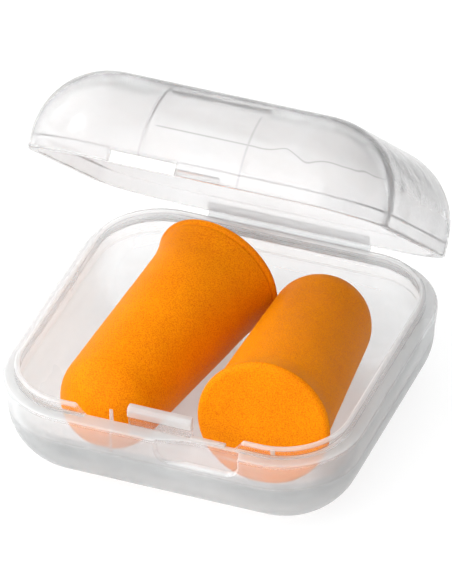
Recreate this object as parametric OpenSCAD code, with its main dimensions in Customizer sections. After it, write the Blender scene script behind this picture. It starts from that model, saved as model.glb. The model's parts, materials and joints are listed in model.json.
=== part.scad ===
// Small hinged plastic case holding a pair of foam ear plugs.
// The case is one thin moulding: a tray and a lid joined by a living hinge across the back,
// with a locating lip round the tray's rim and a snap catch at the front.
// Origin: middle of the tray's flat underside. +Z is up, -Y is the front (the catch side).

/* [Case] */
// Width of the case, side to side
case_w = 35; // [34:0.5:38]
// Depth of the case, front to back, without the hinge
case_d = 33.4; // [33:0.1:36]
// Plan radius of the four upright corners
corner_r = 7.7; // [7.6:0.1:8.2]
// Height of the tray's rim above the table
tray_h = 9.2; // [9:0.1:10]
// Height of the lid's shell
lid_h = 8.8; // [8.6:0.1:9]
// Radius of the tray's rounded lower edge
tray_edge_r = 6.4; // [6:0.1:6.6]
// Radius of the lid's rounded upper edge
lid_edge_r = 7.2; // [6.6:0.1:7.3]
// How far the tray's wall leans in between the rim and the rounded edge
tray_draft = 0.37; // [0.2:0.01:0.5]
// Thickness of the tray's wall and floor
tray_wall = 1; // [0.8:0.05:1.1]
// Thickness of the lid's wall and top
lid_wall = 1.25; // [1.15:0.05:1.4]
// How far the lid stands open
open_angle = 43; // [5:1:130]

/* [Rim] */
// Width of the flat ledge that the lid's rim closes on
ledge_w = 1.15; // [1.1:0.05:1.2]
// Thickness of the raised locating lip
lip_t = 0.55; // [0.45:0.05:0.6]
// Height of the locating lip above the ledge
lip_h = 1.2; // [0.8:0.1:1.25]
// Depth of the thickened band below the ledge
band_h = 1.2; // [1:0.1:1.6]
// Length of the break in the lip at the catch
lip_gap = 14.6; // [13.6:0.2:15]
// Depth of the step inside the lid's rim that clears the lip
rebate_h = 1.3; // [1.28:0.02:1.5]
// Thickness of the lid's wall at that step
rebate_wall = 1; // [0.9:0.05:1]
// Gap between the closed lid's rim and the ledge
rim_gap = 0.1; // [0.06:0.02:0.2]

/* [Catch] */
// Width of the catch tongue
tongue_w = 6.2; // [5:0.2:7]
// Height of the tongue above the ledge
tongue_h = 2.1; // [2:0.1:2.4]
// Height of the tongue's thin neck, which the latch bar sits against
neck_h = 0.9; // [0.85:0.05:1]
// Thickness of the neck
neck_t = 0.6; // [0.5:0.05:0.7]
// How far the tongue's head stands out from its neck
head_out = 0.25; // [0.2:0.01:0.3]
// Distance from the case's front to the neck
neck_inset = 1.5; // [1.48:0.01:1.6]
// Width of the thin panel in the lid's front, behind the catch
panel_w = 9.8; // [8:0.2:11]
// Width of the finger recess in the tray's front
tray_recess_w = 8; // [6:0.5:8]
// Height of that recess, down from the rim
tray_recess_h = 2.5; // [1.5:0.1:2.6]
// Depth of that recess, measured at the rim
tray_recess_t = 0.85; // [0.6:0.05:0.9]
// Width of the finger recess in the lid's front
lid_recess_w = 6.6; // [5:0.2:7]
// Height of that recess, up from the rim
lid_recess_h = 1.2; // [0.8:0.1:1.3]
// Depth of that recess
lid_recess_t = 0.4; // [0.2:0.05:0.5]

/* [Hinge] */
// Width of the living hinge
hinge_w = 16.2; // [12:0.2:17]
// Distance from the case's back to the hinge line
hinge_out = 0.7; // [0.65:0.01:0.8]
// Distance from the hinge line to each leaf's end, and to the middle of the film's root
film_offset = 0.35; // [0.33:0.01:0.36]
// Thickness of the film
film_t = 0.3; // [0.2:0.02:0.32]
// Thickness of the leaves
leaf_t = 0.8; // [0.6:0.05:1]

/* [Plugs] */
// Length of a plug
plug_l = 24; // [22:0.5:24.5]
// Radius of the plug's round tip, where the dome starts
plug_tip_r = 4.9; // [4.5:0.1:5]
// Radius of the plug's body next to the flare
plug_body_r = 5.9; // [5.5:0.1:6]
// Radius of the flared base
plug_base_r = 6.5; // [6.2:0.1:6.55]
// Length of the flare
plug_flare_l = 3; // [2:0.5:4]
// Length of the domed tip
plug_dome_l = 4.6; // [4:0.1:4.9]

/* [Hidden] */
$fn = 96;

// Colours: frosted tray, clearer lid, orange foam
tray_colour = [0.88, 0.89, 0.9, 0.6];
lid_colour = [0.94, 0.95, 0.96, 0.4];
foam_colour = [0.96, 0.52, 0.05];

// Hinge line and the level of the closed lid's rim
hinge_y = case_d / 2 + hinge_out;
hinge_z = tray_h;
lid_rim_z = tray_h + rim_gap;

// Where the parts of the rim stand, as distances in from the case's outline
lip_inner = ledge_w + lip_t;
band_slope = lip_inner - tray_wall - tray_draft;
lip_end_ramp = 0.9;

// The small gaps and chamfers of the catch
catch_play = 0.15;
head_chamfer = 0.3;
bar_w = tongue_w - 0.4;
bar_top = neck_h - 0.1;
bar_bottom = 0.1;
tongue_root = 1.2;
panel_low = 0.05;
panel_high = 7.1;
recess_round = 1.4;
tray_recess_x = tray_recess_w / 2;
lid_recess_x = -4.4;

// The film is an arc that leaves both leaves squarely
film_bend_r = film_offset * (1 + tan(open_angle / 2));

// Where each plug's flat base is centred, and how it is turned about +Z and tilted
left_base = [-4.2, 10.45, 8.1];
left_turn = 9.5;
left_tilt = 4.8;
right_base = [8.5, -11.5, 9.4];
right_turn = -5.2;
right_tilt = 8;
flare_steps = 6;
base_edge = 0.4;
cut = 0.01;
big = 80;

// ---- Shapes shared by the tray and the lid ----

// Half of a bowl's section: r from the corner's axis, z from the flat end to the rim.
module bowl_section(r, height, edge_r, draft, flat_z) {
    foot_r = r - draft - edge_r;
    polygon([[0, flat_z + edge_r], [foot_r + edge_r, flat_z + edge_r], [r, height], [0, height]]);
    intersection() {
        translate([foot_r, flat_z + edge_r]) circle(r = edge_r);
        translate([0, flat_z]) square([r, edge_r]);
    }
    translate([0, flat_z]) square([max(foot_r, cut), edge_r]);
}

// The whole solid whose corners have the 2D section given as children(0).
// The section runs from the corner's axis outwards; the middle is filled to the same height.
module rounded_solid() {
    side_x = case_w / 2 - corner_r;
    side_y = case_d / 2 - corner_r;
    for (quarter = [0 : 3]) {
        along = quarter % 2 == 0 ? side_x : side_y;
        across = quarter % 2 == 0 ? side_y : side_x;
        rotate([0, 0, 90 * quarter]) {
            translate([along, across, 0]) rotate_extrude(angle = 90) children(0);
            translate([along, across, 0]) rotate([90, 0, 0]) linear_extrude(2 * across) children(0);
        }
    }
}

// A frame with a 2D section that stays clear of the corners' axes
module rounded_frame() {
    rounded_solid() children(0);
}

// Turns what was drawn closed to where the open lid holds it
module opened() {
    translate([0, hinge_y, hinge_z]) rotate([-open_angle, 0, 0]) translate([0, -hinge_y, -hinge_z])
        children(0);
}

// ---- Tray ----

module tray_outside() {
    bowl_section(corner_r, tray_h, tray_edge_r, tray_draft, 0);
}

module tray_inside() {
    bowl_section(corner_r - tray_wall, tray_h + 1, tray_edge_r - tray_wall, tray_draft, tray_wall);
}

// Section of the thickened band under the ledge
module rim_band() {
    low = tray_h - band_h;
    outer = corner_r - tray_wall - tray_draft;
    inner = corner_r - lip_inner;
    polygon([[outer + 0.2, low - band_slope], [inner, low], [inner, tray_h],
        [corner_r - 0.2, tray_h], [outer + 0.2, low]]);
}

module wall_section() {
    difference() {
        tray_outside();
        tray_inside();
    }
    rim_band();
}

// Fills a bowl's floor between the four corners' axes
module floor_slab(z, t) {
    translate([corner_r - case_w / 2, corner_r - case_d / 2, z])
        cube([case_w - 2 * corner_r, case_d - 2 * corner_r, t]);
}

// Finger recess with round lower corners, seen from the front
module recess_shape(w, h, r) {
    translate([-w / 2, r - h]) square([w, h]);
    translate([r - w / 2, -h]) square([w - 2 * r, h]);
    for (side = [-1, 1]) translate([side * (w / 2 - r), r - h]) circle(r = r);
}

module tray_shell() {
    color(tray_colour) difference() {
        union() {
            rounded_solid() wall_section();
            floor_slab(0, tray_wall);
        }
        translate([tray_recess_x, tray_recess_t - case_d / 2, tray_h + cut])
            rotate([90, 0, 0]) linear_extrude(5) recess_shape(tray_recess_w, tray_recess_h, recess_round);
    }
}

module locating_lip() {
    color(tray_colour) difference() {
        rounded_frame() translate([corner_r - lip_inner, tray_h]) square([lip_t, lip_h]);
        translate([0, corner_r - case_d / 2 - big / 2, tray_h - cut]) rotate([90, 0, 0])
            linear_extrude(big, center = true)
                polygon([[-lip_gap / 2, 0], [lip_gap / 2, 0],
                    [lip_gap / 2 + lip_end_ramp, lip_h + 2 * cut],
                    [-lip_gap / 2 - lip_end_ramp, lip_h + 2 * cut]]);
    }
}

// Side view of the tongue: root against the band, thin neck, head that stands out to the front
module tongue_section() {
    front = neck_inset - case_d / 2;
    back = front + neck_t;
    root = lip_inner - case_d / 2;
    top = tray_h + tongue_h;
    head = tray_h + neck_h;
    polygon([[root, tray_h - tongue_root], [back, tray_h - tongue_root], [back, top],
        [front, top], [front - head_out, top - head_chamfer],
        [front - head_out, head + head_out], [front, head], [front, tray_h], [root, tray_h]]);
}

module catch_tongue() {
    color(tray_colour) translate([tongue_w / 2, 0, 0]) rotate([90, 0, -90])
        linear_extrude(tongue_w) mirror([1, 0]) tongue_section();
}

// ---- Hinge ----

// Side view of one leaf. The tray's leaf hangs below the hinge line, and the lid's stands above it.
module leaf_section(root_low, root_high, low, high) {
    tip = hinge_y - film_offset;
    polygon([[root_low, low], [tip - 0.15, low], [tip, low + 0.2], [tip, high], [root_high, high]]);
}

module across(width) {
    translate([width / 2, 0, 0]) rotate([90, 0, -90]) linear_extrude(width) mirror([1, 0]) children(0);
}

module tray_hinge_leaf() {
    high = tray_h - film_offset + film_t / 2 + 0.05;
    low = high - leaf_t;
    lean = tray_draft / (tray_h - tray_edge_r);
    back = case_d / 2 - lean * tray_h;
    color(tray_colour) across(hinge_w)
        leaf_section(back + lean * low, back + lean * high, low, high);
}

module lid_hinge_leaf() {
    low = hinge_z + film_offset - film_t / 2 - 0.05;
    color(lid_colour) opened() across(hinge_w) translate([0, 2 * low + leaf_t]) mirror([0, 1])
        leaf_section(case_d / 2, case_d / 2, low, low + leaf_t);
}

module hinge_film() {
    middle = [hinge_y - film_offset, hinge_z - film_offset + film_bend_r];
    outer = film_bend_r + film_t / 2;
    color(lid_colour) across(hinge_w) difference() {
        translate(middle) circle(r = outer);
        translate(middle) circle(r = film_bend_r - film_t / 2);
        translate(middle - [2 * outer, outer]) square([2 * outer, 2 * outer]);
        translate(middle) rotate(90 - open_angle) translate([0, -outer]) square([2 * outer, 2 * outer]);
    }
}

// ---- Lid, drawn closed ----

module lid_outside() {
    bowl_section(corner_r, lid_h, lid_edge_r, 0, 0);
}

module lid_inside() {
    bowl_section(corner_r - lid_wall, lid_h + 1, lid_edge_r - lid_wall, 0, lid_wall);
}

module lid_wall_section() {
    difference() {
        lid_outside();
        lid_inside();
        translate([0, lid_h - rebate_h]) square([corner_r - rebate_wall, rebate_h + 1]);
    }
}

// The thin panel behind the catch takes the same curve as the wall, nearer the outside
module panel_cut() {
    translate([-panel_w / 2, -case_d / 2 + corner_r, 0]) rotate([90, 0, 90]) linear_extrude(panel_w)
        mirror([1, 0]) difference() {
            bowl_section(corner_r - rebate_wall, lid_h - panel_low, lid_edge_r - rebate_wall, 0, rebate_wall);
            translate([0, -cut]) square([corner_r, lid_h - panel_high]);
        }
}

module lid_shell() {
    color(lid_colour) opened() translate([0, 0, lid_rim_z + lid_h]) mirror([0, 0, 1]) difference() {
        union() {
            rounded_solid() lid_wall_section();
            floor_slab(0, lid_wall);
        }
        panel_cut();
        translate([lid_recess_x, lid_recess_t - case_d / 2, lid_h + cut]) rotate([90, 0, 0])
            linear_extrude(5) recess_shape(lid_recess_w, lid_recess_h, 0.3);
    }
}

module latch_bar() {
    wall = rebate_wall - case_d / 2;
    tip = neck_inset - catch_play - case_d / 2;
    low = lid_rim_z + bar_bottom;
    high = tray_h + bar_top;
    color(lid_colour) opened() across(bar_w)
        polygon([[wall, low], [tip, low + 0.15], [tip, high - 0.15], [wall, high]]);
}

// ---- Ear plugs ----

// Half section of a plug, standing on its flat base
module plug_section() {
    side_l = plug_l - plug_dome_l;
    body_at = function(s) plug_body_r + (plug_tip_r - plug_body_r) * s / side_l;
    flare_at = function(s) (plug_base_r - plug_body_r) * pow(1 - s / plug_flare_l, 1.6);
    polygon(concat([[0, 0], [plug_base_r - base_edge, 0]],
        [for (i = [0 : flare_steps])
            let (s = base_edge + (plug_flare_l - base_edge) * i / flare_steps)
            [body_at(s) + flare_at(s), s]],
        [[plug_tip_r, side_l], [0, side_l]]));
}

module plug() {
    color(foam_colour) {
        rotate_extrude() plug_section();
        translate([0, 0, plug_l - plug_dome_l]) plug_dome();
    }
}

// The domed tip: a sphere's cap blended into the body by a ring
module plug_dome() {
    ring_r = plug_dome_l;
    flat_r = plug_tip_r - ring_r;
    rotate_extrude() intersection() {
        union() {
            translate([flat_r, 0]) circle(r = ring_r);
            square([flat_r, ring_r]);
        }
        square([plug_tip_r, ring_r]);
    }
}

module left_plug() {
    translate(left_base) rotate([0, 0, -left_turn]) rotate([90 + left_tilt, 0, 0]) plug();
}

module right_plug() {
    translate(right_base) rotate([0, 0, -right_turn]) rotate([-90 - right_tilt, 0, 0]) plug();
}

tray_shell();
locating_lip();
catch_tongue();
tray_hinge_leaf();
hinge_film();
lid_hinge_leaf();
lid_shell();
latch_bar();
left_plug();
right_plug();
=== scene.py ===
"""Looks of a pair of foam ear plugs in a small hinged plastic case.

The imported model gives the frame. The tray, lid, hinge, catch and plugs are rebuilt here as smooth
meshes with rounded edges, in the same places, and given procedural materials.
Lengths below are in millimetres and become metres when a mesh is made. The lid's pieces are drawn
closed and then swung open.
"""

import json
import math

import bpy
import numpy as np
from mathutils import Matrix, Vector, noise


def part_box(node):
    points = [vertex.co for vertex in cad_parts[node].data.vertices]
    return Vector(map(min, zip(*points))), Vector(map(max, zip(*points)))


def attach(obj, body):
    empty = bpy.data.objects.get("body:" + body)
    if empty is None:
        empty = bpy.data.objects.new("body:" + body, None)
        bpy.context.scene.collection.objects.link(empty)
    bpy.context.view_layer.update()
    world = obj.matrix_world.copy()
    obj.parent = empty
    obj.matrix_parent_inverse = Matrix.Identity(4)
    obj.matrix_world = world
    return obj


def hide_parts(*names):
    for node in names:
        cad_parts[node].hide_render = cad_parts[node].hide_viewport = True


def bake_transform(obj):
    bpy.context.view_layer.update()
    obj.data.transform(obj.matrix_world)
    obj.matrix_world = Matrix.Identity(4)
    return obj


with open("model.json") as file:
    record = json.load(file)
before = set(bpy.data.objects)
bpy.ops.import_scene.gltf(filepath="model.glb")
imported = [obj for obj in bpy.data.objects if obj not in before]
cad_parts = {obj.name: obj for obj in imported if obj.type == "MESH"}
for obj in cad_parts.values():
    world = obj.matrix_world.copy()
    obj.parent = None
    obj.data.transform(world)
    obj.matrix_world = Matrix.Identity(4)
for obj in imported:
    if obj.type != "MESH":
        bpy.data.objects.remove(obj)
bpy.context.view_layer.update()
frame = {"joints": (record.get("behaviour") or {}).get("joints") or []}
MM = 0.001


def cad_box(node):
    """Lowest and highest corner of a CAD node, in millimetres."""
    low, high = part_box(node)
    return np.array(low) / MM, np.array(high) / MM


# ---- Sizes of the case, from the frame and the design ----

tray_low, tray_high = cad_box("tray_shell")
CASE_W = tray_high[0] - tray_low[0]
CASE_D = tray_high[1] - tray_low[1]
RIM_Z = tray_high[2]
FRONT_Y = tray_low[1]
BACK_Y = tray_high[1]

lid_joint = next(j for j in frame["joints"] if j["name"] == "lid_hinge")
HINGE_Y = lid_joint["pos_m"][1] / MM
HINGE_Z = lid_joint["pos_m"][2] / MM
OPEN_ANGLE = math.radians(-lid_joint["range_deg"][0])

# Tray: the wall leans in by TRAY_DRAFT towards its foot. LEDGE_W is the ledge outside the lip, and the
# lip has a break of LIP_GAP at the front. A thicker band runs inside the rim. LIP_INNER and LEDGE_END are
# how far in the lip's inner side and the end of the rim's flat lie. A recess has the x of its middle, its
# height from the rim and its corners' radius, and the tray's deepens over fade from its left end.
CORNER_R = 7.7
TRAY_WALL = 1.0
TRAY_EDGE_R = 6.4
TRAY_DRAFT = 0.37
LEDGE_W = 1.15
LEDGE_ROUND = 0.15
LIP_T = 0.55
LIP_H = 1.2
LIP_GAP = 14.6
LIP_RAMP = 0.9
BAND_H = 1.2
BAND_LEAN = 0.33
LIP_INNER = LEDGE_W + LIP_T
LEDGE_END = LIP_INNER - LEDGE_ROUND
TRAY_RECESS = {"x": 4.0, "width": 8.0, "height": 2.5, "depth": 1.05, "round": 1.4, "fade": 3.2}

# Lid, as it stands when closed: its wall is thinner along the rim, up to REBATE_H, and its front has a
# thin panel that ends at PANEL_TOP.
RIM_GAP = 0.1
LID_RIM_Z = RIM_Z + RIM_GAP
LID_H = 8.8
LID_WALL = 1.25
LID_EDGE_R = 7.2
REBATE_H = 1.3
REBATE_WALL = 1.0
PANEL_W = 9.8
PANEL_TOP = 7.1
LID_RECESS = {"x": -4.4, "width": 6.6, "height": 1.2, "depth": 0.4, "round": 0.3}

# Hinge: the film's ends lie FILM_OFFSET in front of the hinge line, and when closed that far below and
# above it.
FILM_T = 0.3
FILM_OFFSET = 0.35
LEAF_T = 0.8

# How far a small piece is usually sunk into the one that it grows from
SINK = 0.04

# ---- Mesh helpers ----

# A bowl's flat middle is filled by rings at these shares of its first and last ring.
MIDDLE_SCALES = (0.7, 0.35)
SAME_PLACE = 1e-6


def new_piece(name, points, faces, smooth=True):
    """An object from points in millimetres and faces."""
    mesh = bpy.data.meshes.new(name)
    mesh.from_pydata([tuple(p) for p in np.asarray(points, float) * MM], [], faces)
    mesh.validate()
    mesh.update()
    if smooth:
        mesh.shade_smooth()
    piece = bpy.data.objects.new(name, mesh)
    bpy.context.scene.collection.objects.link(piece)
    return piece


def apply_modifiers(piece):
    """Swaps a piece's mesh for the one that its modifiers make."""
    graph = bpy.context.evaluated_depsgraph_get()
    mesh = bpy.data.meshes.new_from_object(piece.evaluated_get(graph))
    piece.modifiers.clear()
    piece.data = mesh


def grid_faces(rows, columns):
    """Quads over a grid of points stored row by row, where each row closes on itself."""
    faces = []
    for i in range(rows - 1):
        for j in range(columns):
            here = i * columns
            ahead = here + columns
            k = (j + 1) % columns
            faces.append((here + j, here + k, ahead + k, ahead + j))
    return faces


def extruded(name, section, low_x, high_x, bevel, segments=3):
    """A section in (y, z) drawn out along X between two ends, with rounded edges."""
    count = len(section)
    points = [(low_x, y, z) for y, z in section] + [(high_x, y, z) for y, z in section]
    faces = grid_faces(2, count)
    faces.append(tuple(reversed(range(count))))
    faces.append(tuple(count + j for j in range(count)))
    piece = new_piece(name, points, faces, smooth=False)
    rounding = piece.modifiers.new("rounding", "BEVEL")
    rounding.width = bevel * MM
    rounding.segments = segments
    rounding.limit_method = "ANGLE"
    rounding.angle_limit = math.radians(25)
    rounding.use_clamp_overlap = True
    apply_modifiers(piece)
    piece.data.shade_smooth()
    piece.data.set_sharp_from_angle(angle=math.radians(50))
    return piece


def smoothstep(x, low, high):
    """Rises smoothly from 0 at low to 1 at high."""
    t = np.clip((x - low) / (high - low), 0.0, 1.0)
    return t * t * (3.0 - 2.0 * t)


def arc(centre, radius, start_deg, end_deg, steps):
    """Points along an arc, both ends included."""
    angles = np.radians(np.linspace(start_deg, end_deg, steps + 1))
    return np.column_stack([centre[0] + radius * np.cos(angles), centre[1] + radius * np.sin(angles)])


def line(start, end, steps):
    """Points along a line, both ends included."""
    t = np.linspace(0.0, 1.0, steps + 1)[:, None]
    return np.asarray(start, float) * (1.0 - t) + np.asarray(end, float) * t


def join_path(*runs):
    """One path from several runs, with doubled points left out."""
    path = np.vstack([np.atleast_2d(r) for r in runs])
    keep = [0] + [i for i in range(1, len(path)) if np.linalg.norm(path[i] - path[i - 1]) > 1e-4]
    return path[keep]


def opened(points):
    """Turns points drawn with the lid closed to where the open lid holds them."""
    points = np.array(points, float)
    y = points[:, 1] - HINGE_Y
    z = points[:, 2] - HINGE_Z
    cos_a, sin_a = math.cos(OPEN_ANGLE), math.sin(OPEN_ANGLE)
    points[:, 1] = HINGE_Y + y * cos_a + z * sin_a
    points[:, 2] = HINGE_Z - y * sin_a + z * cos_a
    return points


def swing_open(piece):
    """Turns a finished piece of the closed lid to where the open lid holds it."""
    points = opened([np.array(v.co) / MM for v in piece.data.vertices]) * MM
    for vertex, point in zip(piece.data.vertices, points):
        vertex.co = point
    piece.data.update()


# ---- The case's outline and its bowls ----


def side_marks(length, fine_spans):
    """Places along a straight side from -length/2 to length/2, close together inside the fine spans."""
    fine, coarse = 0.12, 0.9
    marks = [-length / 2]
    while marks[-1] < length / 2 - SAME_PLACE:
        at = marks[-1]
        inside = any(low - SAME_PLACE <= at < high for low, high in fine_spans)
        ahead = min([low for low, high in fine_spans if low > at + SAME_PLACE] + [length / 2])
        step = fine if inside else min(coarse, max(ahead - at, fine))
        marks.append(min(at + step, length / 2))
    return marks


def outline_columns(front_spans):
    """Base points and inward normals round the case, and which of the points are on the straight front.

    They run anticlockwise from the left end of the front, close together inside front_spans.
    """
    corner_steps = 18
    half_x = CASE_W / 2 - CORNER_R
    half_y = CASE_D / 2 - CORNER_R
    base, inward, front = [], [], []

    def add(x, y, nx, ny, on_front=False):
        base.append((x, y))
        inward.append((nx, ny))
        front.append(on_front)

    def corner(cx, cy, start):
        for k in range(1, corner_steps):
            a = math.radians(start + 90.0 * k / corner_steps)
            out_x, out_y = math.cos(a), math.sin(a)
            add(cx + CORNER_R * out_x, cy + CORNER_R * out_y, -out_x, -out_y)

    for x in side_marks(2 * half_x, front_spans):
        add(x, -CASE_D / 2, 0.0, 1.0, True)
    corner(half_x, -half_y, -90)
    for y in side_marks(2 * half_y, []):
        add(CASE_W / 2, y, -1.0, 0.0)
    corner(half_x, half_y, 0)
    for x in reversed(side_marks(2 * half_x, [])):
        add(x, CASE_D / 2, 0.0, -1.0)
    corner(-half_x, half_y, 90)
    for y in reversed(side_marks(2 * half_y, [])):
        add(-CASE_W / 2, y, 1.0, 0.0)
    corner(-half_x, -half_y, 180)
    return np.array(base), np.array(inward), np.array(front)


def shell_points(profile, columns):
    """Rings for a bowl, the number of rings and the points in each.

    Its section is profile, a list of (inset, z) from the outside's middle to the inside's.
    """
    base, inward, front = columns
    first, last = profile[0], profile[-1]
    rings = [((base + inward * first[0]) * scale, first[1]) for scale in reversed(MIDDLE_SCALES)]
    rings += [(base + inward * inset, z) for inset, z in profile]
    rings += [((base + inward * last[0]) * scale, last[1]) for scale in MIDDLE_SCALES]
    points = np.vstack([np.column_stack([xy, np.full(len(xy), z)]) for xy, z in rings])
    return points, len(rings), len(base)


def with_middles(points, profile):
    """The rings' points followed by the middle point of each end."""
    return np.vstack([points, [(0.0, 0.0, profile[0][1]), (0.0, 0.0, profile[-1][1])]])


def shell_faces(rows, columns):
    """Faces over the rings, closed at both ends to the two middle points that come after them."""
    faces = grid_faces(rows, columns)
    last = (rows - 1) * columns
    first_middle = rows * columns
    last_middle = first_middle + 1
    for j in range(columns):
        k = (j + 1) % columns
        faces.append((first_middle, k, j))
        faces.append((last_middle, last + j, last + k))
    return faces


def recess_share(x, down, recess):
    """How far into a finger recess a place is, from 0 to 1. down is its distance from the rim."""
    soft = 0.1
    half = recess["width"] / 2 - recess["round"]
    across = np.maximum(np.abs(x - recess["x"]) - half, 0.0)
    below = np.maximum(down - (recess["height"] - recess["round"]), 0.0)
    distance = np.hypot(across, below) - recess["round"]
    return smoothstep(-distance, -soft, soft)


def push_back(points, least_y, share):
    """Moves points back to least_y or beyond it, by a share from 0 to 1 of the way."""
    points[:, 1] += (np.maximum(points[:, 1], least_y) - points[:, 1]) * share


# ---- Materials ----

# Tones are pairs of linear colours that a noise mixes.
# MILKY leans a little blue: a painted offset for the orange light that the plugs throw on the tray.
MILKY = ((0.68, 0.738, 0.765), (0.74, 0.793, 0.82))
# Painted shade: the ledge tones are a darker copy of the milky tone for the rim's top.
LEDGE_SHADE_TONES = ((0.49, 0.502, 0.507), (0.54, 0.548, 0.55))
# Painted shade: darker copies of the milky tone for the outer faces, the second low down and on the
# right.
OUTER_LIGHT_SHADE = ((0.55, 0.56, 0.563), (0.61, 0.618, 0.62))
OUTER_DEEP_SHADE = ((0.35, 0.36, 0.363), (0.42, 0.428, 0.43))
CLEAR_TONES = ((0.9, 0.905, 0.91), (0.95, 0.95, 0.95))
# Painted shade for the lid: a near-black tint where a wall is seen edge on.
EDGE_SHADE_TONES = ((0.05, 0.05, 0.05), (0.09, 0.09, 0.09))
FOAM_SKIN = ((0.77, 0.236, 0.0), (0.83, 0.27, 0.0))
FOAM_PIT = ((0.6, 0.12, 0.0), (0.67, 0.142, 0.0))
FLOOR_TONES = ((0.255, 0.255, 0.255), (0.265, 0.265, 0.265))
WHITE = (1.0, 1.0, 1.0, 1.0)

# The part of a noise's range that most of its values lie in
NOISY = (0.3, 0.7)


class Nodes:
    """Short calls for building a material's nodes.

    A span is the pair of values over which something changes. Places are in metres, so a span in
    millimetres comes with MM as its unit.
    """

    def __init__(self, name):
        self.material = bpy.data.materials.new(name)
        self.material.use_nodes = True
        self.tree = self.material.node_tree
        self.shader = self.tree.nodes["Principled BSDF"]
        coordinates = self.tree.nodes.new("ShaderNodeTexCoord")
        self.place = coordinates.outputs["Object"]
        self.surface_normal = coordinates.outputs["Normal"]

    def feed(self, socket, value):
        """Links a socket to another node's output, or sets it."""
        if isinstance(value, bpy.types.NodeSocket):
            self.tree.links.new(value, socket)
        else:
            socket.default_value = value

    def node(self, kind, **inputs):
        """A new node, with its inputs linked or set. A _ in an input's name stands for a space."""
        node = self.tree.nodes.new("ShaderNode" + kind)
        for key, value in inputs.items():
            self.feed(node.inputs[key.replace("_", " ")], value)
        return node

    def shade(self, **inputs):
        """Links or sets the shader's own inputs."""
        for key, value in inputs.items():
            self.feed(self.shader.inputs[key.replace("_", " ")], value)

    def noise(self, scale, detail=2.0, rough=0.5, distortion=0.0):
        node = self.node("TexNoise", Vector=self.place, Scale=scale, Detail=detail, Roughness=rough,
                         Distortion=distortion)
        return node.outputs["Fac"]

    def tones(self, fac, pair, span=NOISY):
        """Mixes a pair of colours over a span of fac."""
        node = self.node("ValToRGB", Fac=fac)
        for element, place, colour in zip(node.color_ramp.elements, span, pair):
            element.position = place
            element.color = (*colour, 1.0)
        return node.outputs["Color"]

    def spread(self, value, low, high, span=(0.0, 1.0), unit=1.0):
        """Goes from low to high while value crosses the span."""
        node = self.node("MapRange", Value=value, From_Min=span[0] * unit, From_Max=span[1] * unit,
                         To_Min=low, To_Max=high)
        return node.outputs["Result"]

    def rise(self, value, span, unit=1.0):
        """0 before the span and 1 after it."""
        return self.spread(value, 0.0, 1.0, span, unit)

    def fall(self, value, span, unit=1.0):
        """1 before the span and 0 after it."""
        return self.spread(value, 1.0, 0.0, span, unit)

    def math(self, operation, a, b=0.0):
        node = self.tree.nodes.new("ShaderNodeMath")
        node.operation = operation
        self.feed(node.inputs[0], a)
        self.feed(node.inputs[1], b)
        return node.outputs["Value"]

    def times(self, a, b):
        return self.math("MULTIPLY", a, b)

    def plus(self, a, b):
        return self.math("ADD", a, b)

    def minus(self, a, b):
        return self.math("SUBTRACT", a, b)

    def larger(self, a, b):
        return self.math("MAXIMUM", a, b)

    def size(self, value):
        return self.math("ABSOLUTE", value)

    def dot(self, a, b):
        node = self.tree.nodes.new("ShaderNodeVectorMath")
        node.operation = "DOT_PRODUCT"
        self.feed(node.inputs[0], a)
        self.feed(node.inputs[1], b)
        return node.outputs["Value"]

    def along(self, axis):
        """Place along one axis, in metres."""
        return self.node("SeparateXYZ", Vector=self.place).outputs[axis]

    def normal(self, axis):
        """How much the surface faces along one axis, from -1 to 1."""
        return self.node("SeparateXYZ", Vector=self.surface_normal).outputs[axis]

    def outward(self):
        """Metres from the case's middle along the surface's own direction: below 0 on inner faces."""
        level = self.tree.nodes.new("ShaderNodeVectorMath")
        level.operation = "MULTIPLY"
        self.feed(level.inputs[0], self.place)
        self.feed(level.inputs[1], (1.0, 1.0, 0.0))
        return self.dot(level.outputs["Vector"], self.surface_normal)

    def facing(self, blend):
        """0 where the surface faces the eye and 1 where it is seen edge on."""
        return self.node("LayerWeight", Blend=blend).outputs["Facing"]

    def mix(self, fac, a, b):
        """Colour a where fac is 0 and b where it is 1."""
        node = self.tree.nodes.new("ShaderNodeMix")
        node.data_type = "RGBA"
        self.feed(node.inputs["Factor"], fac)
        self.feed(node.inputs["A"], a)
        self.feed(node.inputs["B"], b)
        return node.outputs["Result"]

    def bump(self, height, strength, distance_mm):
        node = self.node("Bump", Strength=strength, Distance=distance_mm * MM, Height=height)
        self.shade(Normal=node.outputs["Normal"])

    def absorb(self, colour, density):
        node = self.node("VolumeAbsorption", Color=(*colour, 1.0), Density=density)
        self.tree.links.new(node.outputs["Volume"], self.tree.nodes["Material Output"].inputs["Volume"])


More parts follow.
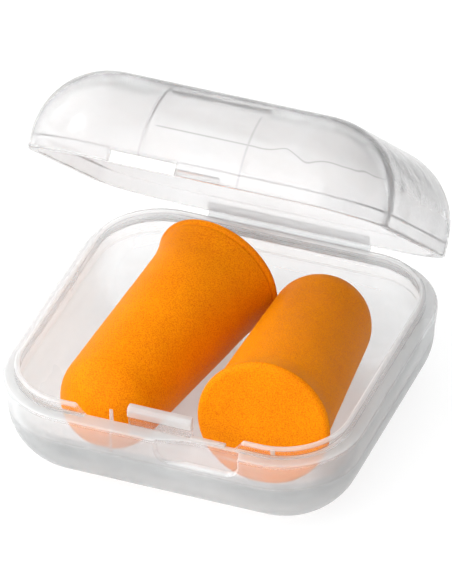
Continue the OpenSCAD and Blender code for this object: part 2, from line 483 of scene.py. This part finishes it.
def frosted_plastic(name, least=0.0):
    """The tray's milky polypropylene. least is the least that it hides what is behind, from 0 to 1.

    Part of the light goes straight through a wall. Less of it gets through edge on, where one looks down
    into the depth of a wall, and where the thick bottom edge curves under. Its colour holds painted
    shade: the rim's top and the outer faces are darker, most of all low down and on the right side.
    """
    rim_top = (RIM_Z - 0.4, RIM_Z - 0.15)
    lip_foot = (RIM_Z, RIM_Z + 0.15)
    lip_crest = (RIM_Z + 0.85, RIM_Z + 1.0)
    rim_band = (RIM_Z - 3.4, RIM_Z - 2.8)
    bottom_curve = (TRAY_EDGE_R - 0.4, TRAY_EDGE_R)
    right_wall = (12.0, 15.0)
    inner_faces = (-6.0, -1.0)
    outer_faces = (3.0, 9.0)
    wall_milk, floor_milk, outer_milk, lip_milk = 0.42, 0.8, 0.62, 0.4
    depth_hides, crest_hides, curve_hides = 0.6, 0.55, 0.8

    m = Nodes(name)
    cloud = m.noise(160.0, 3.0, 0.5, 0.4)
    height = m.along("Z")
    outward = m.outward()
    facing_up = m.normal("Z")
    at_top = m.rise(height, rim_top, MM)
    low = m.fall(height, bottom_curve, MM)
    outer = m.times(m.rise(outward, outer_faces, MM), m.minus(1.0, at_top))

    # Painted shade: milky, greyer on the ledge; the outer faces are pale, and grey low down and on the
    # right.
    ledge = m.times(at_top, m.rise(outward, inner_faces, MM))
    inner_colour = m.mix(ledge, m.tones(cloud, MILKY), m.tones(cloud, LEDGE_SHADE_TONES))
    facing_right = m.times(m.normal("X"), m.rise(m.along("X"), right_wall, MM))
    dark = m.larger(low, m.rise(facing_right, (0.5, 0.85)))
    outer_colour = m.mix(dark, m.tones(cloud, OUTER_LIGHT_SHADE), m.tones(cloud, OUTER_DEEP_SHADE))
    m.shade(Base_Color=m.mix(outer, inner_colour, outer_colour))
    m.shade(Roughness=m.spread(m.noise(90.0, 3.0), 0.26, 0.34, NOISY))

    # How much a wall hides: its milk, more of it edge on, and less of it in the thin lip
    milk = m.larger(m.spread(facing_up, wall_milk, floor_milk), m.spread(outer, 0.0, outer_milk))
    wall = m.times(m.spread(m.facing(0.35), 0.3, 1.0, (0.17, 0.6)), milk)
    thin = m.spread(height, 1.0, lip_milk, lip_foot, MM)
    depth_seen = m.spread(facing_up, 0.0, depth_hides, (0.4, 0.9))
    into_depth = m.times(m.rise(height, rim_band, MM), depth_seen)
    crest = m.spread(height, 0.0, crest_hides, lip_crest, MM)
    under = m.times(outer, m.times(low, curve_hides))
    solid = m.larger(m.larger(m.larger(into_depth, crest), under), least)
    m.shade(Alpha=m.larger(m.times(wall, thin), solid))

    m.shade(IOR=1.49, Subsurface_Weight=1.0, Subsurface_Scale=0.002, Subsurface_Radius=(1.0, 1.0, 1.0))
    m.bump(m.noise(250.0), 0.05, 0.1)
    return m.material


def lid_place(m):
    """Height above the closed lid's rim, depth behind its front and place across it, in metres."""
    up = (0.0, math.sin(OPEN_ANGLE), math.cos(OPEN_ANGLE))
    back = (0.0, math.cos(OPEN_ANGLE), -math.sin(OPEN_ANGLE))
    hinge_height = HINGE_Y * up[1] + HINGE_Z * up[2]
    hinge_depth = HINGE_Y * back[1] + HINGE_Z * back[2]
    height = m.minus(m.dot(m.place, up), (hinge_height + LID_RIM_Z - HINGE_Z) * MM)
    depth = m.minus(m.dot(m.place, back), (hinge_depth + FRONT_Y - HINGE_Y) * MM)
    return height, depth, m.along("X")


def painted_far_edge_line(m, height, depth, across):
    """A fine painted dark line across the lid's front, which wanders on the right. It stands for the
    lid's far top edge seen through the front wall.
    """
    line_height = 4.1
    line_start = (-4.2, -3.8)
    wander_start = (5.5, 8.5)
    front_part = (4.0, 6.0)
    wander = m.spread(m.noise(260.0, 1.0), -0.7 * MM, 0.7 * MM, (0.25, 0.75))
    wander = m.times(wander, m.rise(across, wander_start, MM))
    off_line = m.size(m.minus(m.minus(height, wander), line_height * MM))
    on_line = m.spread(off_line, 0.3, 0.0, (0.03, 0.1), MM)
    on_line = m.times(on_line, m.fall(depth, front_part, MM))
    return m.times(on_line, m.rise(across, line_start, MM))


def painted_panel_edges(m, height, depth, across):
    """Painted shade along the two fine edges of the lid's thin front panel."""
    front_part = (5.0, 7.0)
    panel_end = (6.8, 7.2)
    off_seam = m.size(m.minus(m.size(across), PANEL_W / 2 * MM))
    on_panel = m.times(m.fall(depth, front_part, MM), m.fall(height, panel_end, MM))
    return m.times(m.spread(off_seam, 0.2, 0.0, (0.04, 0.16), MM), on_panel)


def recess_frost(m, height, depth, across):
    """The lid's finger recess, 1 inside and 0 outside."""
    half = LID_RECESS["width"] / 2 - 0.1
    top = LID_RECESS["height"] - 0.1
    front_part = (0.6, 0.7)
    off_middle = m.size(m.minus(across, LID_RECESS["x"] * MM))
    frost = m.times(m.fall(off_middle, (half - 0.1, half), MM), m.fall(height, (top - 0.1, top), MM))
    return m.times(frost, m.fall(depth, front_part, MM))


def clear_plastic():
    """The lid's clearer polypropylene.

    It is wavy and glossy, with a grainy painted shade where a wall is seen edge on, and frosted in its
    recess.
    A fine painted dark line that stands for the far top edge seen through the front wall, and painted
    shade along the two edges of the thin panel, show on the front.
    """
    m = Nodes("clear_polypropylene")
    height, depth, across = lid_place(m)

    # Painted shade: a grainy dark tint where a wall is seen edge on, more of it higher up and on outer
    # faces.
    grain = m.spread(m.noise(4500.0, 3.0, 0.7), 0.5, 1.0, (0.35, 0.65))
    thick = m.spread(height, 0.2, 1.0, (1.5, 6.5), MM)
    edge_on_shade = m.times(m.rise(m.facing(0.5), (0.46, 0.84)), m.times(thick, grain))
    edge_on_shade = m.times(edge_on_shade, m.spread(m.outward(), 0.25, 1.0, (-4.0, 6.0), MM))

    lines = m.larger(painted_far_edge_line(m, height, depth, across), painted_panel_edges(m, height, depth, across))
    cloud = m.tones(m.noise(110.0, 3.0, 0.5, 0.6), CLEAR_TONES)
    edge_on_shade_tone = m.tones(grain, EDGE_SHADE_TONES, (0.0, 1.0))
    m.shade(Base_Color=m.mix(m.larger(edge_on_shade, lines), cloud, edge_on_shade_tone))

    frost = recess_frost(m, height, depth, across)
    gloss = m.spread(m.noise(60.0), 0.08, 0.14, NOISY)
    m.shade(Roughness=m.larger(gloss, m.spread(frost, 0.0, 0.5)))
    m.shade(Transmission_Weight=m.spread(frost, 0.82, 0.3))
    m.shade(IOR=1.35, Subsurface_Weight=0.9, Subsurface_Scale=0.0015, Subsurface_Radius=(1.0, 1.0, 1.0))
    waves = m.noise(230.0, 2.0, 0.4, 0.5)
    m.bump(m.plus(waves, m.times(m.noise(900.0), 0.12)), 0.35, 0.4)
    m.absorb((0.5, 0.51, 0.52), 75.0)
    return m.material


def foam():
    """Orange slow-recovery foam: matt skin with fine open pores, through which light bleeds red."""
    m = Nodes("orange_foam")
    grain = m.noise(8500.0, 1.0)
    blotch = m.noise(1500.0)
    cloud = m.noise(260.0, 3.0)
    clouded = (0.3, 0.72)
    fine = m.spread(grain, 0.85, 0.0, (0.32, 0.62))
    pores = m.plus(fine, m.spread(blotch, 0.04, -0.04, (0.35, 0.65)))
    skin = m.tones(cloud, FOAM_SKIN, clouded)
    pit = m.tones(cloud, FOAM_PIT, clouded)
    m.shade(Base_Color=m.mix(pores, skin, pit))
    m.shade(Roughness=m.spread(grain, 0.42, 0.6, (0.35, 0.65)), IOR=1.4, Specular_IOR_Level=0.08)
    m.shade(Subsurface_Weight=0.3, Subsurface_Scale=0.0005, Subsurface_Radius=(1.0, 0.45, 0.1))
    m.bump(m.plus(grain, m.times(blotch, 0.2)), 0.8, 0.08)
    return m.material


FROSTED = frosted_plastic("frosted_polypropylene")
SMALL_MARK = frosted_plastic("frosted_marks", 0.6)
CLEAR = clear_plastic()
HINGE = frosted_plastic("hazy_hinge", 0.3)
FOAM = foam()


def finish_piece(piece, body, material, slot, *nodes):
    """Gives a piece its material, makes it ride on its body and stand for its CAD nodes."""
    piece.data.materials.clear()
    piece.data.materials.append(material)
    if body:
        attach(piece, body)
    if nodes:
        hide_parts(*nodes)
    return piece


# ---- Tray ----


def tray_profile():
    """Section of the tray as (inset, z), from the middle of the underside over the rim to the floor.

    Also returns how many of its points come before the ledge's inner end: those that a recess may move.
    """
    foot = TRAY_DRAFT + TRAY_EDGE_R
    flat = foot + 0.4
    edge_in, edge_r = 0.05, 0.3
    wall_in = TRAY_DRAFT + TRAY_WALL
    band_low = RIM_Z - BAND_H
    outside = join_path(
        [(flat, 0.0)],
        arc((foot, TRAY_EDGE_R), TRAY_EDGE_R, 270, 180, steps=22),
        line((TRAY_DRAFT, TRAY_EDGE_R), (edge_in, RIM_Z - edge_r), steps=26),
        arc((edge_in + edge_r, RIM_Z - edge_r), edge_r, 180, 90, steps=5),
        line((edge_in + edge_r, RIM_Z), (LEDGE_END, RIM_Z), steps=6),
    )
    inside = join_path(
        arc((LEDGE_END, RIM_Z - LEDGE_ROUND), LEDGE_ROUND, 90, 0, steps=3),
        line((LIP_INNER, RIM_Z - LEDGE_ROUND), (LIP_INNER, band_low), steps=4),
        line((LIP_INNER, band_low), (wall_in, band_low - BAND_LEAN), steps=3),
        line((wall_in, band_low - BAND_LEAN), (wall_in, TRAY_EDGE_R), steps=4),
        arc((foot, TRAY_EDGE_R), TRAY_EDGE_R - TRAY_WALL, 180, 270, steps=20),
        [(flat, TRAY_WALL)],
    )
    return join_path(outside, inside), len(outside) - 1


def make_tray():
    """The tray, with a finger recess in its front that is shallow at its left end."""
    recess = TRAY_RECESS
    edge = recess["width"] / 2
    margin = 0.3
    columns = outline_columns([(recess["x"] - edge - margin, recess["x"] + edge + margin)])
    profile, outer_count = tray_profile()
    points, rows, count = shell_points(profile, columns)
    row = np.repeat(np.arange(rows), count)
    outer_front = np.tile(columns[2], rows) & (row < len(MIDDLE_SCALES) + outer_count)
    share = recess_share(points[:, 0], RIM_Z - points[:, 2], recess) * outer_front
    left_end = recess["x"] - edge
    left_share = 0.3
    from_left = smoothstep(points[:, 0], left_end, left_end + recess["fade"])
    share *= left_share + (1.0 - left_share) * from_left

    # Behind the recess the rim's flat is narrower, and its points keep their order.
    on_ledge = points[:, 2] > RIM_Z - SAME_PLACE
    ledge_left = 1.0 - recess["depth"] / LEDGE_END
    squeezed = np.where(on_ledge, ledge_left * (points[:, 1] - FRONT_Y), 0.0)
    push_back(points, FRONT_Y + recess["depth"] + squeezed, share)
    tray = new_piece("tray_body", with_middles(points, profile), shell_faces(rows, count))
    return finish_piece(tray, "tray", FROSTED, "frosted_plastic", "tray_shell")


def make_lip():
    """The raised lip: a thin rounded fin along the rim, sloping down at both ends of its break."""
    top_r = LIP_T / 2 - 0.02
    margin = 0.3
    least_ramp = 0.02
    half_gap = LIP_GAP / 2
    fine_end = half_gap + LIP_RAMP + margin
    base, inward, front = outline_columns([(-fine_end, fine_end)])
    start = next(i for i in range(len(base)) if front[i] and base[i][0] >= half_gap)
    order = list(range(start, len(base)))
    order += [i for i in range(len(base)) if front[i] and base[i][0] <= -half_gap]
    section = join_path(
        line((LEDGE_W, -SINK), (LEDGE_W, LIP_H - top_r), steps=4),
        arc((LEDGE_W + LIP_T / 2, LIP_H - top_r), top_r, 180, 0, steps=6),
        line((LIP_INNER, LIP_H - top_r), (LIP_INNER, -SINK), steps=4),
    )
    points = []
    for i in order:
        ramp = 1.0
        if front[i]:
            ramp = float(np.clip((abs(base[i][0]) - half_gap) / LIP_RAMP, least_ramp, 1.0))
        for inset, z in section:
            x, y = base[i] + inward[i] * inset
            points.append((x, y, RIM_Z + (z * ramp if z > 0 else z)))
    rows, count = len(order), len(section)
    faces = [face[::-1] for face in grid_faces(rows, count)]
    faces.append(tuple(reversed(range(count))))
    faces.append(tuple((rows - 1) * count + j for j in range(count)))
    lip = new_piece("rim_lip", points, faces)
    return finish_piece(lip, "tray", FROSTED, "frosted_plastic", "locating_lip")


def make_tongue():
    """The springy tongue, with a chamfered head that overhangs its neck at the front."""
    low, high = cad_box("catch_tongue")
    sunk, head_out, neck_h, chamfer = 0.03, 0.25, 0.9, 0.3
    root_y = FRONT_Y + LIP_INNER - sunk
    neck_y = low[1] + head_out
    section = [
        (root_y, low[2]), (high[1], low[2]), (high[1], high[2]), (neck_y, high[2]),
        (low[1], high[2] - chamfer), (low[1], RIM_Z + neck_h + head_out), (neck_y, RIM_Z + neck_h),
        (neck_y, RIM_Z - SINK), (root_y, RIM_Z - SINK),
    ]
    tongue = extruded("snap_tongue", section, low[0], high[0], bevel=0.1)
    return finish_piece(tongue, "tray", FROSTED, "frosted_plastic", "catch_tongue")


def make_mark(name, section, low_x, high_x):
    """A small raised mark on the tray."""
    mark = extruded(name, section, low_x, high_x, bevel=0.04, segments=2)
    finish_piece(mark, "tray", SMALL_MARK, "frosted_plastic")


def make_marks():
    """Small traces of the mould.

    A nib and the line under it are on the front wall, a foot is beside the tongue, and a tick is on the
    lip near the right end of the front.
    """
    edge = FRONT_Y + LIP_INNER
    wall = FRONT_Y + TRAY_DRAFT + TRAY_WALL
    band_low = RIM_Z - BAND_H
    band_foot = band_low - BAND_LEAN
    nib_half, line_half, tick_half = 0.16, 0.08, 0.22

    nib_x, nib_top = -4.85, RIM_Z + 1.1
    nib = [(edge - 0.03, RIM_Z - 0.3), (edge + 0.28, RIM_Z - 0.3), (edge + 0.14, nib_top),
           (edge + 0.02, nib_top)]
    make_mark("mould_nib", nib, nib_x - nib_half, nib_x + nib_half)

    raised, line_top = 0.1, RIM_Z - 0.4
    down_wall = [
        (wall - SINK, 5.4), (wall + 0.08, 5.6), (wall + raised, band_foot), (edge + raised, band_low),
        (edge + raised, line_top), (edge - SINK, line_top), (edge - SINK, band_low + raised),
        (wall - SINK, band_foot + raised),
    ]
    make_mark("mould_line", down_wall, nib_x - line_half, nib_x + line_half)

    foot_overlap, foot_l = 0.1, 3.3
    tongue_x = cad_box("catch_tongue")[1][0]
    foot = [(edge - 0.4, RIM_Z - 0.05), (edge + SINK, RIM_Z - 0.15), (edge + SINK, RIM_Z + 0.26),
            (edge - 0.34, RIM_Z + 0.2)]
    make_mark("tongue_foot", foot, tongue_x - foot_overlap, tongue_x + foot_l)

    tick_x = 11.1
    past_corner = tick_x - CASE_W / 2 + CORNER_R
    tick_y = FRONT_Y + CORNER_R - math.sqrt((CORNER_R - LEDGE_W) ** 2 - past_corner ** 2)
    tick = [(tick_y - 0.03, RIM_Z + 0.45), (tick_y + 0.12, RIM_Z + 0.4), (tick_y + 0.12, RIM_Z + 1.08),
            (tick_y - 0.09, RIM_Z + 1.0)]
    make_mark("lip_tick", tick, tick_x - tick_half, tick_x + tick_half)


# ---- Hinge ----


def make_tray_leaf():
    """The thick edge of the hinge on the tray, chamfered along its tip."""
    low, high = cad_box("tray_hinge_leaf")
    sunk, chamfer_y, chamfer_z = 0.05, 0.15, 0.2
    section = [
        (low[1] - sunk, low[2]), (high[1] - chamfer_y, low[2]), (high[1], low[2] + chamfer_z),
        (high[1], high[2]), (low[1] + 0.02, high[2]),
    ]
    leaf = extruded("hinge_edge_tray", section, low[0], high[0], bevel=0.1)
    return finish_piece(leaf, "tray", FROSTED, "frosted_plastic", "tray_hinge_leaf")


def make_lid_leaf():
    """The thick edge of the hinge on the lid, chamfered along its tip."""
    low, high = cad_box("lid_hinge_leaf")
    sunk, chamfer_y, chamfer_z = 0.1, 0.15, 0.2
    root = BACK_Y - sunk
    tip = HINGE_Y - FILM_OFFSET
    leaf_low = HINGE_Z + FILM_OFFSET - FILM_T / 2 - 0.05
    leaf_high = leaf_low + LEAF_T
    section = [
        (root, leaf_low), (tip, leaf_low), (tip, leaf_high - chamfer_z), (tip - chamfer_y, leaf_high),
        (root, leaf_high),
    ]
    leaf = extruded("hinge_edge_lid", section, low[0], high[0], bevel=0.1)
    swing_open(leaf)
    return finish_piece(leaf, "lid", HINGE, "clear_plastic", "lid_hinge_leaf")


def make_film():
    """The bending web, an arc that leaves both leaves squarely at rest."""
    low, high = cad_box("hinge_film")
    bend_steps, columns = 24, 25
    bend_r = FILM_OFFSET * (1.0 + math.tan(OPEN_ANGLE / 2))
    centre = (HINGE_Y - FILM_OFFSET, HINGE_Z - FILM_OFFSET + bend_r)
    end = 90.0 - math.degrees(OPEN_ANGLE)
    outer = arc(centre, bend_r + FILM_T / 2, -90, end, bend_steps)
    inner = arc(centre, bend_r - FILM_T / 2, end, -90, bend_steps)
    section = np.vstack([outer, inner])
    points = [(x, y, z) for x in np.linspace(low[0], high[0], columns) for y, z in section]
    count = len(section)
    faces = grid_faces(columns, count)
    for row in (0, columns - 1):
        for j in range(bend_steps):
            a = row * count
            quad = (a + j, a + j + 1, a + count - 2 - j, a + count - 1 - j)
            faces.append(quad if row else quad[::-1])
    film = new_piece("hinge_web", points, faces)
    film.data.set_sharp_from_angle(angle=math.radians(50))
    finish_piece(film, None, HINGE, "hinge_plastic", "hinge_film")
    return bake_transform(film)


# ---- Lid ----

# Steps across the flat of the lid's rim
RIM_STEPS = 4


def lid_profile():
    """Section of the closed lid as (inset, z), from the middle of the top round to the ceiling inside."""
    top = LID_RIM_Z + LID_H
    flat = LID_EDGE_R + 0.3
    outer_round, inner_round = 0.2, 0.1
    turn_z = top - LID_EDGE_R
    step_z = LID_RIM_Z + REBATE_H
    step_end_z = step_z + 0.05
    rim_end = REBATE_WALL - inner_round
    return join_path(
        [(flat, top)],
        arc((LID_EDGE_R, turn_z), LID_EDGE_R, 90, 180, steps=24),
        line((0.0, turn_z), (0.0, LID_RIM_Z + outer_round), steps=12),
        arc((outer_round, LID_RIM_Z + outer_round), outer_round, 180, 270, steps=4),
        line((outer_round, LID_RIM_Z), (rim_end, LID_RIM_Z), RIM_STEPS),
        arc((rim_end, LID_RIM_Z + inner_round), inner_round, 270, 360, steps=3),
        line((REBATE_WALL, LID_RIM_Z + inner_round), (REBATE_WALL, step_z), steps=8),
        line((REBATE_WALL, step_z), (LID_WALL, step_end_z), steps=2),
        line((LID_WALL, step_end_z), (LID_WALL, turn_z), steps=3),
        arc((LID_EDGE_R, turn_z), LID_EDGE_R - LID_WALL, 180, 90, steps=24),
        [(flat, top - LID_WALL)],
    )


def panel_thinning(points, height):
    """How far each point inside the front is moved out by the thin panel and the grooves at its sides."""
    panel_depth, groove_depth, groove_half = 0.14, 0.1, 0.14
    panel_start, soft_x, soft_top = (0.05, 0.3), 0.3, 0.15
    half = PANEL_W / 2
    across = np.abs(points[:, 0])
    panel = smoothstep(-across, -half - soft_x, -half + soft_x)
    panel *= smoothstep(height, *panel_start)
    panel *= smoothstep(-height, -PANEL_TOP - soft_top, -PANEL_TOP + soft_top)
    groove = np.exp(-(((across - half) / groove_half) ** 2))
    groove *= (height > panel_start[1]) & (height < PANEL_TOP)
    return panel_depth * panel + groove_depth * groove


def make_lid():
    """The lid, with a finger recess in its rim and a thin panel inside its front."""
    recess = LID_RECESS
    edge = recess["width"] / 2
    near_panel, near_recess = 0.4, 0.3
    panel_ends = [side * PANEL_W / 2 for side in (-1, 1)]
    recess_ends = [recess["x"] + side * edge for side in (-1, 1)]
    spans = [(x - near_panel, x + near_panel) for x in panel_ends]
    spans += [(x - near_recess, x + near_recess) for x in recess_ends]
    columns = outline_columns(spans)
    profile = lid_profile()
    points, rows, count = shell_points(profile, columns)
    row = np.repeat(np.arange(rows), count)
    front = np.tile(columns[2], rows)
    rim_row = len(MIDDLE_SCALES) + int(np.argmin(profile[:, 1]))
    height = points[:, 2] - LID_RIM_Z
    outside = front & (row <= rim_row + RIM_STEPS // 2)
    push_back(points, FRONT_Y + recess["depth"], recess_share(points[:, 0], height, recess) * outside)

    # The panel is thinned square to the wall, and only above the step inside the rim.
    inside = front & (row > rim_row + RIM_STEPS)
    above_step = height >= REBATE_H + 0.03
    turn_z = LID_RIM_Z + LID_H - LID_EDGE_R
    away = np.column_stack([np.zeros(len(points)), points[:, 1] - (FRONT_Y + LID_EDGE_R),
                            np.maximum(points[:, 2] - turn_z, 0.0)])
    away /= np.maximum(np.linalg.norm(away, axis=1), SAME_PLACE)[:, None]
    points += away * (panel_thinning(points, height) * inside * above_step)[:, None]
    faces = [face[::-1] for face in shell_faces(rows, count)]
    lid = new_piece("lid_body", opened(with_middles(points, profile)), faces)
    return finish_piece(lid, "lid", CLEAR, "clear_plastic", "lid_shell")


def make_latch_bar():
    """The low bar inside the lid's front rim that snaps under the tongue's head."""
    low, high = cad_box("latch_bar")
    slope = 0.15
    root = FRONT_Y + REBATE_WALL - SINK
    tip = FRONT_Y + 1.35
    bar_low = LID_RIM_Z + 0.1
    bar_high = RIM_Z + 0.8
    section = [(root, bar_low), (tip, bar_low + slope), (tip, bar_high - slope), (root, bar_high)]
    bar = extruded("snap_bar", section, low[0], high[0], bevel=0.08, segments=2)
    swing_open(bar)
    return finish_piece(bar, "lid", CLEAR, "clear_plastic", "latch_bar")


# ---- Ear plugs ----

PLUG_L = 24.0
PLUG_TIP_R = 4.9
PLUG_BODY_R = 5.9
PLUG_BASE_R = 6.5
PLUG_FLARE_L = 3.0
PLUG_DOME_L = 4.6
PLUGS = {
    "left_plug": {"base": (-4.2, 10.45, 8.1), "turn": -9.5, "tilt": 94.8, "seed": 3.0,
                  "edge": 0.3, "groove": 0.09},
    "right_plug": {"base": (8.5, -11.5, 9.4), "turn": 5.2, "tilt": -98.0, "seed": 11.0,
                   "edge": 0.6, "groove": 0.0},
}


def plug_profile(edge, groove):
    """Half section of a plug as (radius, height), from the middle of the base to the tip.

    It lies just inside the CAD solid. edge is the rounding of the base's rim, and groove the depth of the
    fine line that the mould leaves round the flare, with a low ridge beside it.
    """
    skin, crown, hub_r = 0.03, 0.16, 0.25
    side_l = PLUG_L - PLUG_DOME_L
    groove_at, groove_half = 0.92, 0.16
    ridge_at, ridge = 0.62, groove * 0.5
    flare_start, flare_power = 0.35, 1.6

    def bulge(s, at):
        return max(0.0, 1.0 - abs(s - at) / groove_half)

    def radius(s):
        body = PLUG_BODY_R + (PLUG_TIP_R - PLUG_BODY_R) * s / side_l
        flared = min(1.0, max(0.0, 1.0 - (s - flare_start) / PLUG_FLARE_L)) ** flare_power
        mark = groove * bulge(s, groove_at) - ridge * bulge(s, ridge_at)
        return body + (PLUG_BASE_R - PLUG_BODY_R) * flared - mark - skin

    face_r = radius(edge + crown) - edge
    face = [(r, skin + crown * (r / face_r) ** 2) for r in np.linspace(hub_r, face_r, 30)]
    low_s = skin + crown + edge
    fine_end = low_s + 1.6
    sides = [(radius(s), s) for s in np.linspace(low_s, fine_end, 28)]
    sides += [(radius(s), s) for s in np.linspace(fine_end, side_l, 112)[1:]]
    flat = PLUG_TIP_R - PLUG_DOME_L
    dome_r = PLUG_DOME_L - skin
    dome = arc((flat, side_l), dome_r, 0, 90, steps=43)[1:]
    return join_path(
        face,
        arc((face_r, low_s), edge, 270, 360, steps=8),
        sides,
        dome,
        [(flat * 0.5, PLUG_L - skin)],
    )


def uneven(points, seed):
    """Pulls the surface in a little by broad dents and fine pores. Nothing moves outwards."""
    broad, fine = 0.05, 0.035
    dent_scale, pore_scale = 0.22, 3.6
    core_r, base_z = 0.3, 0.1
    offset = Vector((seed, seed * 2.0, -seed))
    moved = points.copy()
    for i, p in enumerate(points):
        at = Vector(p)
        dent = 0.5 + 0.5 * noise.noise(at * dent_scale + offset)
        pore = 0.5 + 0.5 * noise.noise(at * pore_scale + offset)
        from_axis = np.array([p[0], p[1], 0.0])
        radius = np.linalg.norm(from_axis)
        amount = broad * dent + fine * pore * pore
        if radius > core_r:
            moved[i] -= from_axis / radius * min(amount, radius * 0.5)
        if p[2] < base_z:
            moved[i][2] += fine * pore
    return moved


def make_plug(name):
    """One plug: a turned shape, with the slight unevenness of soft foam."""
    spec = PLUGS[name]
    profile = plug_profile(spec["edge"], spec["groove"])
    steps = 240
    angles = np.linspace(0.0, 2.0 * math.pi, steps, endpoint=False)
    circle = np.column_stack([np.cos(angles), np.sin(angles)])
    rings = np.vstack([np.column_stack([circle * r, np.full(steps, z)]) for r, z in profile])
    points = uneven(with_middles(rings, profile), spec["seed"])
    turn = Matrix.Rotation(math.radians(spec["turn"]), 3, "Z")
    tilt = Matrix.Rotation(math.radians(spec["tilt"]), 3, "X")
    points = points @ np.array(turn @ tilt).T + np.array(spec["base"])
    plug = new_piece(name + "_foam", points, shell_faces(len(profile), steps))
    finish_piece(plug, name, FOAM, "foam", name)
    return plug


# ---- Floor, light and camera ----


def make_floor():
    """A pale floor that reaches past the view, just below the case so that the two don't coincide."""
    size, below = 4000.0, 0.02
    corners = [(-size, -size, 0), (size, -size, 0), (size, size, 0), (-size, size, 0)]
    floor = new_piece("floor", corners, [(0, 1, 2, 3)], smooth=False)
    floor.location.z = -below * MM
    m = Nodes("pale_floor")
    m.shade(Base_Color=m.tones(m.noise(12.0), FLOOR_TONES), Roughness=0.9, Specular_IOR_Level=0.1)
    m.shade(Emission_Color=WHITE, Emission_Strength=0.79)
    floor.data.materials.append(m.material)


def direction(azimuth, elevation):
    """Unit vector towards an azimuth (0 is the front, 90 the right) and elevation, in degrees."""
    a, e = math.radians(azimuth), math.radians(elevation)
    return Vector((math.sin(a) * math.cos(e), -math.cos(a) * math.cos(e), math.sin(e)))


def sun(name, azimuth, elevation, strength, softness_deg):
    """A soft sun that shines from this azimuth and elevation."""
    data = bpy.data.lights.new(name, "SUN")
    data.energy = strength
    data.angle = math.radians(softness_deg)
    lamp = bpy.data.objects.new(name, data)
    towards = direction(azimuth, elevation)
    lamp.rotation_mode = "QUATERNION"
    lamp.rotation_quaternion = towards.to_track_quat("Z", "Y")
    lamp.location = towards * 0.5
    bpy.context.scene.collection.objects.link(lamp)


# The room's light falls from light to dark as a direction turns towards dark_side.
ROOM = {"dark_side": (0.85, 0.5, -0.15), "span": (-0.5, 0.85), "light": 1.64, "dark": 0.12}


def make_light():
    """A white room that is darker behind on the right, with a key sun from the left and one in front."""
    world = bpy.data.worlds.new("studio")
    bpy.context.scene.world = world
    world.use_nodes = True
    tree = world.node_tree
    background = tree.nodes["Background"]
    background.inputs["Color"].default_value = WHITE
    towards = tree.nodes.new("ShaderNodeVectorMath")
    towards.operation = "DOT_PRODUCT"
    tree.links.new(tree.nodes.new("ShaderNodeTexCoord").outputs["Generated"], towards.inputs[0])
    towards.inputs[1].default_value = ROOM["dark_side"]
    level = tree.nodes.new("ShaderNodeMapRange")
    level.interpolation_type = "SMOOTHSTEP"
    level.inputs["From Min"].default_value = ROOM["span"][0]
    level.inputs["From Max"].default_value = ROOM["span"][1]
    level.inputs["To Min"].default_value = ROOM["light"]
    level.inputs["To Max"].default_value = ROOM["dark"]
    tree.links.new(towards.outputs["Value"], level.inputs["Value"])
    tree.links.new(level.outputs["Result"], background.inputs["Strength"])
    sun("key", azimuth=-70.0, elevation=45.0, strength=1.0, softness_deg=18.0)
    sun("front", azimuth=0.0, elevation=40.0, strength=0.75, softness_deg=60.0)


# Angles in degrees, lens and distance in millimetres
CAMERA = {
    "azimuth": 22.39, "elevation": 37.14, "roll": -1.48, "distance": 802.7, "lens": 533.5,
    "target": (-2.06, 6.46, 9.18),
}


def make_camera():
    """A long lens from the front right, looking down at the open case."""
    data = bpy.data.cameras.new("camera")
    data.sensor_width = 36.0
    data.lens = CAMERA["lens"]
    data.clip_start = 0.01
    data.clip_end = 10.0
    camera = bpy.data.objects.new("camera", data)
    back = direction(CAMERA["azimuth"], CAMERA["elevation"])
    azimuth, roll = math.radians(CAMERA["azimuth"]), math.radians(CAMERA["roll"])
    level = Vector((math.cos(azimuth), math.sin(azimuth), 0.0))
    upward = back.cross(level)
    right = level * math.cos(roll) + upward * math.sin(roll)
    up = upward * math.cos(roll) - level * math.sin(roll)
    turn = Matrix((right, up, back)).transposed().to_4x4()
    place = (Vector(CAMERA["target"]) + back * CAMERA["distance"]) * MM
    camera.matrix_world = Matrix.Translation(place) @ turn
    bpy.context.scene.collection.objects.link(camera)
    bpy.context.scene.camera = camera


bpy.context.scene.view_settings.view_transform = "Standard"
make_camera()
make_floor()
make_light()
make_tray()
make_lip()
make_tongue()
make_marks()
make_tray_leaf()
make_film()
make_lid_leaf()
make_lid()
make_latch_bar()
for plug_name in PLUGS:
    make_plug(plug_name)
